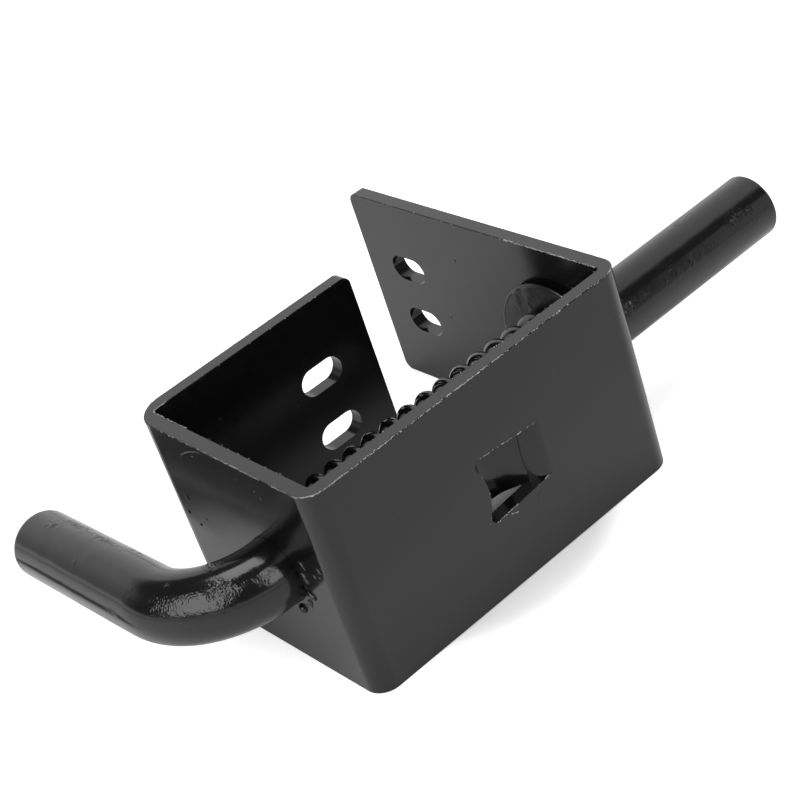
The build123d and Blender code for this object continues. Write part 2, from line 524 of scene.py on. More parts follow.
def coil_tree():
    """A round wire wound along +X."""
    tree, given = geometry_tree("coil", Float=("Turns", "Height", "Radius", "Wire Radius", "Turned"),
                                Int=("Steps", "Wire Sides"), Vector=("Start",))
    spiral = add_node(tree, "GeometryNodeCurveSpiral", Resolution=given["Steps"], Rotations=given["Turns"],
                      Start_Radius=given["Radius"], End_Radius=given["Radius"], Height=given["Height"])
    turned = add_node(tree, "ShaderNodeCombineXYZ", Z=given["Turned"])
    spin = add_node(tree, "GeometryNodeTransform", Geometry=spiral.outputs[0], Rotation=turned.outputs[0])
    lay = add_node(tree, "GeometryNodeTransform", Geometry=spin.outputs[0], Rotation=(0, pi / 2, 0),
                   Translation=given["Start"])
    section = add_node(tree, "GeometryNodeCurvePrimitiveCircle", Resolution=given["Wire Sides"],
                       Radius=given["Wire Radius"])
    wire = add_node(tree, "GeometryNodeCurveToMesh", Curve=lay.outputs[0], Profile_Curve=section.outputs[0])
    return finish_tree(tree, wire.outputs[0], given)


def stand_lumps(tree, given, points, rotation, sizes, **more):
    """Ends a tree with a round lump on each point, of a random share of the size that is given."""
    lump = add_node(tree, "GeometryNodeMeshIcoSphere", Radius=1.0, Subdivisions=2)
    stand = add_node(tree, "GeometryNodeInstanceOnPoints", Points=points, Rotation=rotation,
                     Instance=lump.outputs["Mesh"], Scale=scaled(tree, sizes, given["Size"]), **more)
    return finish_tree(tree, stand.outputs[0], given)


def chip_tree():
    """Flakes along an edge, where the attribute called worn and a slow noise let them stand."""
    patch_size, patch_gain, patch_start, tilt = 0.0045, 2.2, -0.62, 0.4
    tree, given = geometry_tree("chips", Float=("Spacing", "Size", "Aside"), Int=("Seed",))
    seed = given["Seed"]
    curve = add_node(tree, "GeometryNodeMeshToCurve", given["Geometry"])
    points = add_node(tree, "GeometryNodeCurveToPoints", mode="LENGTH", Curve=curve.outputs[0],
                      Length=given["Spacing"]).outputs
    worn = add_node(tree, "GeometryNodeInputNamedAttribute", data_type="FLOAT", Name="worn")
    place = add_node(tree, "GeometryNodeInputPosition").outputs[0]
    patches = noise_node(tree, place, patch_size, detail=3.0)
    patchy = math_node(tree, "MULTIPLY_ADD", patches, patch_gain, patch_start)
    chance = add_node(tree, "FunctionNodeRandomValue", data_type="FLOAT", Seed=seed).outputs[1]
    limit = math_node(tree, "MULTIPLY", patchy, worn.outputs["Attribute"])
    aside = scaled(tree, random_vector(tree, (-1, -1, -1), (1, 1, 1), seed, 4), given["Aside"])
    moved = add_node(tree, "GeometryNodeSetPosition", Geometry=points["Points"], Offset=aside)
    sizes = random_vector(tree, (0.2, 0.22, 0.22), (1.0, 0.55, 0.55), seed, 1)
    tilted = random_vector(tree, (-tilt, -tilt, -tilt), (tilt, tilt, tilt), seed, 2)
    aim = add_node(tree, "FunctionNodeAlignRotationToVector", axis="X", Vector=points["Tangent"],
                   Rotation=tilted)
    return stand_lumps(tree, given, moved.outputs[0], aim.outputs[0], sizes,
                       Selection=math_node(tree, "LESS_THAN", chance, limit))


def nib_tree():
    """Low round specks, scattered over a surface."""
    tree, given = geometry_tree("nibs", Float=("Size", "Density"), Int=("Seed",))
    spread = add_node(tree, "GeometryNodeDistributePointsOnFaces", Mesh=given["Geometry"],
                      Density=given["Density"], Seed=given["Seed"]).outputs
    sizes = random_vector(tree, (0.25, 0.25, 0.12), (1.0, 0.7, 0.4), given["Seed"], 3)
    return stand_lumps(tree, given, spread["Points"], spread["Rotation"], sizes)


# Forms of the pieces

def bends(radii):
    """Corner, inward signs, first angle and radius of each bend, from the flange to the leg."""
    flange_y = BRACKET_LOW[1] + settings("bracket").side_depth
    corners = (
        ((BRACKET_LOW[0], flange_y), (1, -1), 90),
        ((BRACKET_LOW[0], BRACKET_LOW[1]), (1, 1), 180),
        ((BRACKET_HIGH[0], BRACKET_LOW[1]), (-1, 1), 270),
    )
    return [(*corner, radius) for corner, radius in zip(corners, radii)]


def outer_radii():
    """Outer radius of each bend, from the flange to the leg."""
    plate = settings("bracket")
    return plate.flange_bend, plate.front_bend, plate.leg_bend


# Where the bends are cut before they are rounded further, in degrees of the way round
BEND_CUTS = (0.0, 7.5, 15.0, 22.5, 30.0)


def ease_bends(work):
    """Rounds the outside of the bends further: the plate is drawn a little thinner there."""
    plate = settings("bracket")
    for corner, signs, _, radius in bends(outer_radii()):
        for turn in BEND_CUTS:
            inset = radius * (1 - sin(radians(turn)))
            for axis, start in enumerate(corner):
                place, normal = Vector((0, 0, 0)), Vector((0, 0, 0))
                place[axis], normal[axis] = start + signs[axis] * inset, 1
                cut(work, place, normal, dist=plate.merge_distance)
        middle = Vector((corner[0] + signs[0] * radius, corner[1] + signs[1] * radius))
        for vert in work.verts:
            away = vert.co.xy - middle
            if away.x * signs[0] < 0 and away.y * signs[1] < 0:
                limit = radius - max(0.0, abs(vert.co.z) - BRACKET_HIGH[2] + plate.edge_break)
                if away.length > limit:
                    vert.co.xy = middle + away * limit / away.length


def bracket_mesh():
    """The plate's skin: the solid's triangles merged into whole faces."""
    plate = settings("bracket")
    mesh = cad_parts["bracket"].data.copy()
    mesh.name = "bracket_skin"
    with reworked(mesh) as work:
        bmesh.ops.remove_doubles(work, verts=work.verts, dist=plate.merge_distance)
        ease_bends(work)
        bmesh.ops.remove_doubles(work, verts=work.verts, dist=plate.merge_distance)
        bmesh.ops.dissolve_limit(work, angle_limit=plate.flat_angle, verts=work.verts, edges=work.edges)
        work.normal_update()
        inward = [(vert, vert.normal * plate.paint_room) for vert in work.verts]
        for vert, step in inward:
            vert.co -= step
    room = Vector((1, 1, 1)) * plate.paint_room / 2
    keep_inside(mesh, Vector(BRACKET_LOW) + room, Vector(BRACKET_HIGH) - room)
    mesh.shade_smooth()
    return mesh


def rod_straight():
    """Length of the rod's middle line from the bolt end to the bend."""
    rod = settings("rod")
    return ROD_HIGH[0] - (ROD_LOW[0] + rod.diameter / 2) - rod.bend_radius


def rod_frame(station):
    """Point on the rod's middle line, and its up and side directions, at a distance from the bolt end."""
    rod = settings("rod")
    straight, around = rod_straight(), rod.bend_radius * pi / 2
    if station < straight:
        place, side = Vector((ROD_HIGH[0] - station, 0, 0)), Vector((0, 1, 0))
    elif station < straight + around:
        angle = (station - straight) / rod.bend_radius
        side = Vector((sin(angle), cos(angle), 0))
        place = Vector((ROD_HIGH[0] - straight, rod.bend_radius, 0)) - side * rod.bend_radius
    else:
        place = Vector((ROD_LOW[0] + rod.diameter / 2, rod.bend_radius + station - straight - around, 0))
        side = Vector((1, 0, 0))
    turned = Matrix.Rotation(-rod.droop, 3, "X")
    return turned @ place, turned @ Vector((0, 0, 1)), turned @ side


def rod_length():
    """Length of the rod along its middle line, so that its handle ends where the solid's does."""
    rod = settings("rod")
    reach = (ROD_HIGH[1] - rod.diameter / 2 * sin(rod.droop)) / cos(rod.droop)
    return rod_straight() + rod.bend_radius * pi / 2 + reach - rod.bend_radius


# Lumpy paint on the rod: distance from the bolt end in millimetres, angle in degrees from the top
# towards the inside of the bend, half length, half width, height and grain in millimetres, and how
# crinkled the paint is there, from 0 to 1
ROD_FLAWS = (
    (210.0, -51, 6.0, 3.0, 0.20, 1.5, 0.45),
    (203.5, -50, 4.0, 2.8, 0.34, 1.1, 1.0),
    (216.5, -46, 3.0, 2.4, 0.24, 1.1, 0.9),
    (194.5, -55, 3.0, 2.0, 0.14, 1.6, 0.35),
    (199.0, -30, 7.0, 1.0, 0.03, 2.4, 0.12),
    (268.5, 28, 8.0, 1.8, 0.34, 1.3, 1.0),
    (254.0, 27, 9.0, 1.5, 0.28, 1.1, 1.0),
    (240.5, 42, 4.5, 1.3, 0.36, 1.4, 1.0),
    (275.5, 5, 3.5, 1.4, 0.22, 1.3, 0.8),
    (254.4, -33, 0.9, 0.6, 0.34, 1.2, 0.4),
    (225.5, -38, 0.5, 1.4, 0.30, 1.2, 0.3),
    (215.3, -18, 1.3, 0.8, 0.26, 1.2, 0.5),
    (204.0, 8, 3.2, 2.6, 0.12, 1.3, 0.7),
    (232.0, -78, 3.0, 1.4, 0.14, 1.2, 0.5),
    (62.6, -66, 2.6, 2.0, 0.30, 0.9, 1.0),
    (56.3, -64, 2.2, 1.6, 0.18, 1.1, 0.6),
    (46.5, -74, 1.3, 0.9, 0.26, 0.9, 0.6),
    (45.4, -48, 1.0, 0.8, 0.18, 1.0, 0.5),
    (36.0, -72, 9.0, 1.3, 0.10, 1.7, 0.45),
    (28.5, 4, 6.0, 0.9, 0.22, 1.4, 0.8),
    (14.5, -57, 3.6, 1.6, 0.22, 1.1, 0.9),
    (9.8, -61, 1.6, 1.2, 0.20, 1.0, 0.8),
    (7.4, -85, 1.5, 0.5, 0.24, 1.2, 0.6),
)

# How far a flaw reaches, as the square of a number of half sizes. Its grain is the noise less its
# middle, times a gain
FLAW_REACH = 5
GRAIN_MIDDLE = 0.42
GRAIN_GAIN = 1.5


def paint_at(place, station, angle, radius):
    """Height of the paint over the bar at a point, in metres, and how crinkled it is."""
    rod = settings("rod")
    height = noise.noise(place / rod.wave_size) * rod.wave_height
    height += noise.noise(place / rod.ripple_size) * rod.ripple_height - rod.wave_height
    crinkled = 0.0
    for far, turn, half_length, half_width, rise, grain, folds in ROD_FLAWS:
        along = (station / MM - far) / half_length
        across = (angle - radians(turn)) * radius / MM / half_width
        reach = along * along + across * across
        if reach < FLAW_REACH:
            rough = noise.turbulence(place / (grain * MM), 3, True)
            height += rise * MM * exp(-reach) * (rough - GRAIN_MIDDLE) * GRAIN_GAIN
            crinkled = max(crinkled, folds * exp(-reach))
    return height, crinkled


def rod_profile():
    """Distance along the rod and radius of each ring, from the bolt's rounded end to the handle's."""
    rod = settings("rod")
    radius, rounding, total = rod.diameter / 2, rod.end_rounding, rod_length()
    start = [(0.0, radius * share) for share in (0.25, 0.5, 0.7, 0.85)]
    steps = 6
    for step in range(steps, -1, -1):
        angle = pi / 2 * step / steps
        start.append((rounding * (1 - sin(angle)), radius - rounding * (1 - cos(angle))))
    stations = [rounding]
    while stations[-1] + rod.step < total - rounding:
        stations.append(stations[-1] + rod.step)
    groove_from, groove_to = ROD_HIGH[0] - RING_HIGH[0], ROD_HIGH[0] - RING_LOW[0]
    inner = radius - rod.groove_depth
    before = [(station, radius) for station in stations if station <= groove_from - rod.step]
    groove = [(groove_from, radius), (groove_from, inner), (groove_to, inner), (groove_to, radius)]
    after = [(station, radius) for station in stations if station >= groove_to + rod.step]
    end = [(total - station, width) for station, width in reversed(start)]
    return start[:-1] + before + groove + after + end[1:]


def rod_mesh():
    """The bent bar with its uneven paint."""
    rod = settings("rod")
    rings, crinkles = [], []
    for station, radius in rod_profile():
        middle, up, side = rod_frame(station)
        ring = []
        for corner in range(rod.sides):
            angle = 2 * pi * corner / rod.sides
            signed = angle if angle < pi else angle - 2 * pi
            out = up * cos(angle) + side * sin(angle)
            place = middle + out * radius
            height, crinkled = paint_at(place, station, signed, radius)
            ring.append(place + out * height * radius / (rod.diameter / 2))
            crinkles.append(crinkled)
        rings.append(ring)
    mesh = grid_mesh("latch_rod_skin", rings)
    set_attribute(mesh, "crinkle", crinkles)
    return mesh


def spring_mesh():
    """The coil, wound past both seats and cut flat on them."""
    spring = settings("spring")
    wire_radius = spring.wire / 2
    seat_gap = SPRING_HIGH[0] - SPRING_LOW[0]
    wound = seat_gap + 2 * spring.wire
    mesh = run_tree(coil_tree(), "spring_coil", bpy.data.meshes.new("spring_source"), {
        "Turns": wound / seat_gap * spring.turns,
        "Height": wound,
        "Radius": SPRING_HIGH[2] - wire_radius,
        "Wire Radius": wire_radius,
        "Steps": spring.steps,
        "Wire Sides": spring.wire_sides,
        "Turned": spring.start + pi / 2,
        "Start": (SPRING_LOW[0] - spring.wire, 0, 0),
        "Material": bpy.data.materials["spring_gloss"],
    })
    with reworked(mesh) as work:
        for seat, outward in ((SPRING_LOW[0], -1), (SPRING_HIGH[0], 1)):
            cut(work, (seat, 0, 0), (outward, 0, 0), clear_outer=True)
            rim = [edge for edge in work.edges if edge.is_boundary]
            bmesh.ops.holes_fill(work, edges=rim, sides=0)
        bmesh.ops.recalc_face_normals(work, faces=work.faces)
    mesh.shade_smooth()
    return mesh


def washer_mesh():
    """The washer, with lumps of paint on the face that the spring pushes on."""
    washer = settings("washer")
    outer = WASHER_HIGH[2]
    inner = settings("rod").diameter / 2 + washer.bore_room
    near, far = WASHER_LOW[0], WASHER_HIGH[0]
    soft = washer.rim_rounding
    rim_steps, lump_spread, fine_share = 4, 1.3, 0.25
    profile = []
    for middle_x, first in ((near + soft, 180), (far - soft, 90)):
        for step in range(rim_steps + 1):
            angle = radians(first - 90 * step / rim_steps)
            profile.append((middle_x + soft * cos(angle), outer - soft + soft * sin(angle), 0.0))
    profile += [(far, outer - soft - (outer - inner - soft) * share, 0.0) for share in (0.5, 1.0)]
    for ring in range(washer.rings + 1):
        share = ring / washer.rings
        lumps = sin(pi * min(1, share * lump_spread) / lump_spread)
        profile.append((near, inner + (outer - soft - inner) * share, lumps))
    rings = []
    for corner in range(washer.sides):
        angle = 2 * pi * corner / washer.sides
        ring = []
        for x, radius, lumps in profile:
            place = Vector((x, radius * cos(angle), radius * sin(angle)))
            fine = noise.noise(place / (washer.lump_size / 3))
            rough = max(0.0, noise.noise(place / washer.lump_size) + fine_share * fine)
            place.x -= washer.lump_height * lumps * rough
            ring.append(place)
        rings.append(ring)
    mesh = grid_mesh("thrust_washer_skin", rings, looped=True)
    on_face = [vert.co.x < near + soft / 2 for vert in mesh.vertices]
    set_attribute(mesh, "crinkle", [washer.crinkle if lumpy else 0.0 for lumpy in on_face])
    return mesh


def rim_path(inset, radii):
    """Points round the plate's top, a distance in from its outer faces, from the flange to the leg."""
    plate = settings("bracket")
    bend_steps = 8
    points = [(BRACKET_LOW[0] + plate.flange_reach - plate.plate, BRACKET_LOW[1] + plate.side_depth - inset)]
    for (x, y), signs, first, radius in bends(radii):
        middle_x, middle_y, reach = x + signs[0] * radius, y + signs[1] * radius, radius - inset
        for step in range(bend_steps + 1):
            angle = radians(first + 90 * step / bend_steps)
            points.append((middle_x + reach * cos(angle), middle_y + reach * sin(angle)))
    points.append((BRACKET_HIGH[0] - inset, BRACKET_HIGH[1] - plate.plate))
    return [(x, y, BRACKET_HIGH[2] - plate.edge_rounding / 2) for x, y in points]


# How far the worn lines of the lance stop short of its start and its end. The lip's line is given in
# tenths of its half height, and the scrape under the lance by points, at distances from the lance's
# start and below its edge
LANCE_FROM_START, LANCE_FROM_END = 3.2 * MM, 1.2 * MM
LIP_TENTHS = range(-9, 7)
SCRAPE = ((8.2 * MM, 2.6 * MM), (9.2 * MM, 3.0 * MM), (10.3 * MM, 3.5 * MM))


def lance_lines():
    """The upper edge, the lower edge and the lip of the lance, and a scrape under it."""
    plate = settings("bracket")
    face = BRACKET_LOW[1] + plate.edge_rounding / 2
    start, end = BRACKET_LOW[0] + plate.lance_start, BRACKET_LOW[0] + plate.lance_end
    rise, fall = plate.lance_start_height / 2, plate.lance_end_height / 2
    upper = []
    for x in (start + LANCE_FROM_START, end - LANCE_FROM_END):
        upper.append((x, face, rise + (fall - rise) * (x - start) / (end - start)))
    lower = [(x, face, -z) for x, face, z in upper]
    lip = []
    for tenth in LIP_TENTHS:
        share = tenth / 10
        lip.append((start + plate.lance_lip * (1 - share * share), face, rise * share))
    scrape = [(start + far, face, -fall - below) for far, below in SCRAPE]
    return upper, lower, lip, scrape


# Where the wear of the outer edge changes, as distances from the bracket's outer faces: along the
# front, back along the side, and back along the leg
FRONT_WORN, SIDE_WORN, LEG_WORN = 62 * MM, 46 * MM, 9 * MM


def outer_wear(x, y, z):
    """How worn the outer top edge is at a place. 1 leaves chips half of the way."""
    plate = settings("bracket")
    if y < BRACKET_LOW[1] + plate.plate / 2:
        return 1.9 if x < BRACKET_LOW[0] + FRONT_WORN else 0.95
    if x < BRACKET_LOW[0] + plate.plate / 2:
        return 1.7 if y < BRACKET_LOW[1] + SIDE_WORN else 0.7
    if x > BRACKET_HIGH[0] - plate.plate / 2:
        return 1.2 if y < BRACKET_LOW[1] + LEG_WORN else 0.05
    return 0.03


# The worn stretches of the inner edge: along the leg, and about the flange's bend
INNER_LEG_WORN = (5.5 * MM, 42 * MM)
INNER_BEND_WORN = (9 * MM, 21 * MM)


def inner_wear(x, y, z):
    """How worn the inner top edge is at a place: at the flange's bend, and on the leg."""
    plate = settings("bracket")
    least, most = (BRACKET_LOW[1] + far for far in INNER_LEG_WORN)
    if x > BRACKET_HIGH[0] - 1.5 * plate.plate and least < y < most:
        return 2.4
    across, back = INNER_BEND_WORN
    near_flange = y > BRACKET_LOW[1] + plate.side_depth - back and x < BRACKET_LOW[0] + across
    return 1.6 if near_flange else 0.08


# How far the lance's lower edge is worn, from its start and from its end
LANCE_START_WORN, LANCE_END_WORN = 11 * MM, 3 * MM


def lance_wear(x, y, z):
    """How worn the lance's edges are at a place."""
    plate = settings("bracket")
    far = x - BRACKET_LOW[0]
    if z > plate.lance_end_height * 0.45:
        return 0.55
    if z > -plate.lance_end_height * 0.45:
        return 0.15
    at_start = far < plate.lance_start + LANCE_START_WORN
    at_end = far > plate.lance_end - LANCE_END_WORN
    return 2.0 if at_start or at_end else 0.12


def edge_mesh():
    """Lines along the worn edges, with their wear in an attribute."""
    plate = settings("bracket")
    wobble_size, wobble = 2.3 * MM, 0.2
    inner_bend = plate.plate + plate.bend_inside
    lines = [(rim_path(plate.edge_rounding / 2, outer_radii()), outer_wear)]
    lines.append((rim_path(plate.plate - plate.edge_rounding / 2, (inner_bend,) * 3), inner_wear))
    lines += [(line, lance_wear) for line in lance_lines()]
    points, edges, wear = [], [], []
    for coarse, worn_at in lines:
        begin = len(points)
        for first, last in zip(coarse, coarse[1:]):
            gap = Vector(last) - Vector(first)
            count = max(1, round(gap.length / MM))
            points += [Vector(first) + gap * step / count for step in range(count)]
        points.append(Vector(coarse[-1]))
        for index in range(begin, len(points)):
            points[index] += noise.noise_vector(points[index] / wobble_size) * wobble * MM
        edges += [(index, index + 1) for index in range(begin, len(points) - 1)]
        wear += [worn_at(*point) for point in points[begin:]]
    mesh = bpy.data.meshes.new("worn_edges")
    mesh.from_pydata(points, edges, [])
    set_attribute(mesh, "worn", wear)
    return mesh


# Lumps and drips of paint on the bracket: place on a face in millimetres, its normal, and the half
# length, half width and height of the lump
BRACKET_LUMPS = (
    ((-112, 39.3, 3.6), "-X", (0.8, 0.5, 0.22)),
    ((-112, 35.3, 0.6), "-X", (0.7, 0.45, 0.20)),
    ((-112, 36.4, 10.0), "-X", (1.2, 0.5, 0.18)),
    ((-112, 30.5, 4.4), "-X", (0.35, 0.3, 0.12)),
    ((-112, 12.4, 21.5), "-X", (0.35, 0.3, 0.12)),
    ((-112, 3.1, 23.0), "-X", (0.4, 0.3, 0.14)),
    ((-112, -6.2, 25.2), "-X", (0.3, 0.3, 0.12)),
    ((-112, 22.6, 28.6), "-X", (0.6, 0.3, 0.14)),
    ((-77.6, -28, 31.6), "-Y", (0.9, 0.8, 0.30)),
    ((-61.2, -28, 12.0), "-Y", (0.4, 0.3, 0.10)),
    ((-30.0, -28, 17.0), "-Y", (0.3, 0.3, 0.10)),
    ((-90.0, 45.7, 18.0), "-Y", (0.4, 0.3, 0.14)),
    ((-66.0, 45.7, 6.0), "-Y", (0.3, 0.3, 0.12)),
    ((-52.0, 45.7, -4.0), "-Y", (0.3, 0.25, 0.12)),
    ((-4.5, 40.0, 19.0), "-X", (0.5, 0.3, 0.16)),
    ((-4.5, 51.0, -4.0), "-X", (0.3, 0.3, 0.12)),
    ((-112, -4.4, -11.6), "-X", (1.5, 1.3, 1.1)),
    ((-112, -9.4, -7.9), "-X", (2.1, 1.0, 0.5)),
    ((-112, -11.8, -3.9), "-X", (2.1, 1.0, 0.8)),
    ((-112, -12.0, 2.2), "-X", (2.0, 1.3, 0.7)),
    ((-112, -13.4, 6.8), "-X", (1.5, 0.8, 0.5)),
    ((-112, -17.5, 5.0), "-X", (1.1, 0.5, 0.35)),
    ((-112, -21.0, 8.2), "-X", (1.2, 0.5, 0.4)),
    ((-112, -20.2, 5.8), "-X", (0.6, 0.4, 0.3)),
    ((-47.0, -28, -12.2), "-Y", (1.2, 0.6, 0.25)),
)

NORMALS = {"-X": Euler((0, -pi / 2, 0)), "-Y": Euler((pi / 2, 0, 0))}

# Thin lines in the paint: half width and height, the normal of the face and points on it, all in
# millimetres. The first follows the crease across the bridge, the second is a curved run on the side
PAINT_LINES = (
    (0.24, 0.26, "-Y", ((-46.0, 9.2), (-46.2, 6.5), (-46.45, 1.6), (-46.55, -4.0), (-45.5, -8.5))),
    (0.20, 0.12, "-X", ((29.8, 25.6), (28.9, 27.0), (25.3, 29.0), (22.1, 30.3), (19.1, 31.2), (16.5, 31.4))),
)

# Rings between two points of a line, points in each ring, and the least thickness, at its tips
LINE_STEPS = 10
LINE_SIDES = 8
LINE_TIP = 0.1


def on_plate(normal, first, second):
    """The place on the bracket's front or side that lies at two coordinates in metres."""
    outward = NORMALS[normal].to_matrix() @ Vector((0, 0, 1))
    start = Vector((first, 0, second)) if normal == "-Y" else Vector((0, first, second))
    skin = bpy.data.objects["bracket_skin"]
    _, place, _, _ = skin.ray_cast(start + outward, -outward)
    return place, outward


def add_line(work, half_width, rise, normal, points):
    """A low tapered ridge through points on a face."""
    rings, count = [], LINE_STEPS * (len(points) - 1)
    for step in range(count + 1):
        index, share = min(divmod(step, LINE_STEPS), (len(points) - 2, LINE_STEPS))
        first, last = points[index], points[index + 1]
        between = [MM * (a + (b - a) * share / LINE_STEPS) for a, b in zip(first, last)]
        place, outward = on_plate(normal, *between)
        run = [b - a for a, b in zip(first, last)]
        along = Vector((run[0], 0, run[1])) if normal == "-Y" else Vector((0, *run))
        across = along.normalized().cross(outward)
        thick = max(LINE_TIP, sin(pi * step / count)) ** 0.5
        ring = []
        for side in range(LINE_SIDES):
            angle = 2 * pi * side / LINE_SIDES
            point = place + across * half_width * thick * cos(angle) + outward * rise * thick * sin(angle)
            ring.append(work.verts.new(point))
        rings.append(ring)
    for low, high in zip(rings, rings[1:]):
        for side in range(LINE_SIDES):
            after = (side + 1) % LINE_SIDES
            work.faces.new((low[side], low[after], high[after], high[side]))
    work.faces.new(rings[0])
    work.faces.new(rings[-1])


def lumps_mesh():
    """Low lumps and lines of paint at their places on the bracket."""
    mesh = bpy.data.meshes.new("bracket_lumps")
    with reworked(mesh) as work:
        for place, normal, (half_length, half_width, rise) in BRACKET_LUMPS:
            size = Matrix.Diagonal((half_length * MM, half_width * MM, rise * MM, 1))
            turn = NORMALS[normal].to_matrix().to_4x4() @ Matrix.Rotation(sum(place), 4, "Z")
            sink = Matrix.Translation(Vector(place) * MM)
            bmesh.ops.create_icosphere(work, subdivisions=3, radius=1, matrix=sink @ turn @ size)
        for half_width, rise, normal, points in PAINT_LINES:
            add_line(work, half_width * MM, rise * MM, normal, points)
        bmesh.ops.recalc_face_normals(work, faces=work.faces)
    mesh.shade_smooth()
    return mesh


# Lights

def direction(azimuth, elevation):
    """Unit vector at degrees from +Y towards +X, and degrees above the table."""
    flat = cos(radians(elevation))
    return Vector((sin(radians(azimuth)) * flat, cos(radians(azimuth)) * flat, sin(radians(elevation))))


# Softboxes: name, azimuth and elevation of the middle, width and height in degrees as seen from the
# latch, and brightness, where white paper on the table is 1
SOFTBOXES = (
    ("softbox_left", -108, 36, 48, 48, 3.5),
    ("softbox_front", 174, 36, 24, 48, 3.5),
    ("softbox_top", 20, 83, 30, 32, 4.2),
)


def softbox(name, azimuth, elevation, wide, high, brightness):
    """A rectangular lamp that looks at the latch."""
    stage = settings("stage")
    lamp = bpy.data.lights.new(name, "AREA")
    lamp.shape = "RECTANGLE"
    lamp.size = 2 * stage.distance * tan(radians(wide / 2))
    lamp.size_y = 2 * stage.distance * tan(radians(high / 2))
    lamp.energy = brightness * lamp.size * lamp.size_y * pi
    box = put_in_scene(name, lamp)
    away = direction(azimuth, elevation)
    box.location = away * stage.distance
    box.rotation_euler = away.to_track_quat("Z", "Y").to_euler()


# The table, the card and the room
FLOOR = CAD_BOX[0][2]

# Where the table's glow begins and is full, as distances from the latch's middle in metres, and where
# it grows once more
NEAR_GLOW = (0.035, 0.052)
FAR_GLOW = (0.5, 1.8)

# The painted shadow of the handle on the table: its round dark patch is darkest out to this radius, and the
# edge of its dark strip is soft on both sides by this much, in metres. Rays longer than the first length meet
# both, and rays shorter than the second meet neither
SHADOW_PATCH_CORE = 0.012
SHADOW_STRIP_BLUR = 0.0015
SHADOW_PATCH_RAYS = (0.075, 0.055)

# Painted shade on the table, seen only in reflections: in front of the latch, only this share of the
# table's light is left. It grows over two stretches along Y, each with its start, its end and its gain
FRONT_SHADE_SHARE = 0.63
FRONT_SHADE_GAINS = ((-0.36, -0.17, 0.22), (-0.10, -0.04, 0.15))


def stage_tree(name):
    """A material for the stage and its node tree, with nothing in it."""
    material = bpy.data.materials.new(name)
    material.use_nodes = True
    material.node_tree.nodes.clear()
    return material, material.node_tree


def stage_sheet(name, corners, material):
    """A flat sheet with four corners, for the stage."""
    mesh = bpy.data.meshes.new(name)
    mesh.from_pydata(corners, [], [(0, 1, 2, 3)])
    mesh.materials.append(material)
    return put_in_scene(name, mesh)


def table_distance(tree, place, x, y):
    """Distance of a place from a point on the table."""
    return add_node(tree, "ShaderNodeVectorMath", place, (x, y, FLOOR), operation="DISTANCE").outputs["Value"]


def light_left(tree, place, parts):
    """The share of the table's light that the painted shadow of the handle leaves at a place: a round dark
    patch and a dark strip, met only by longer rays.
    """
    stage = settings("stage")
    beyond = []
    for axis, middle, half in zip("XY", stage.shadow_strip, stage.shadow_strip_half):
        away = math_node(tree, "ABSOLUTE", math_node(tree, "SUBTRACT", parts[axis], middle))
        beyond.append(math_node(tree, "SUBTRACT", away, half))
    shadow_strip = smooth_step(tree, math_node(tree, "MAXIMUM", *beyond), -SHADOW_STRIP_BLUR, SHADOW_STRIP_BLUR)
    patch = smooth_step(tree, table_distance(tree, place, *stage.patch), SHADOW_PATCH_CORE, stage.shadow_patch_reach)
    patch = math_node(tree, "MULTIPLY", shadow_strip, patch)
    patch = math_node(tree, "MULTIPLY_ADD", patch, 1 - stage.shadow_patch_light, stage.shadow_patch_light)
    reach = add_node(tree, "ShaderNodeLightPath").outputs["Ray Length"]
    return math_node(tree, "MAXIMUM", patch, smooth_step(tree, reach, *SHADOW_PATCH_RAYS))


def table_material():
    """A white table that keeps the latch's soft shadow. In reflections it is darker: painted shade in front,
    and a painted shadow of the handle, which the bracket's side reflects.
    """
    stage = settings("stage")
    material, tree = stage_tree("table")
    place = coordinates(tree)
    parts = separated(tree, place)
    seen = camera_ray(tree)
    from_latch = table_distance(tree, place, (BRACKET_LOW[0] + BRACKET_HIGH[0]) / 2, 0)
    open_floor = math_node(tree, "MULTIPLY", smooth_step(tree, from_latch, *NEAR_GLOW), stage.table_glow)
    lift = math_node(tree, "ADD", open_floor, smooth_step(tree, from_latch, *FAR_GLOW))
    glow = add_node(tree, "ShaderNodeEmission", Color=(1, 1, 1, 1),
                    Strength=math_node(tree, "MULTIPLY", lift, seen))
    # Painted shade for reflections: darker in front, and the handle's painted shadow
    near = FRONT_SHADE_SHARE
    for start, end, gain in FRONT_SHADE_GAINS:
        near = math_node(tree, "MULTIPLY_ADD", smooth_step(tree, parts["Y"], start, end), gain, near)
    shade_in_reflections = math_node(tree, "MULTIPLY", light_left(tree, place, parts), near)
    tint = scaled(tree, stage.table, math_node(tree, "MAXIMUM", seen, shade_in_reflections))
    matt = add_node(tree, "ShaderNodeBsdfDiffuse", Color=tint)
    both = add_node(tree, "ShaderNodeAddShader", matt.outputs[0], glow.outputs[0])
    add_node(tree, "ShaderNodeOutputMaterial", Surface=both.outputs[0])
    return material


# The card's left and right edges and its height over the table, in metres. The edge of its bright
# part leans to the right as it rises. The last two pairs are where its brightness starts and is full
CARD_LEFT, CARD_RIGHT, CARD_HEIGHT = 0.22, 1.1, 0.5
CARD_LEAN = 0.34
CARD_LEFT_BLUR = (0.25, 0.41)
CARD_TOP_BLUR = (0.5, 0.36)


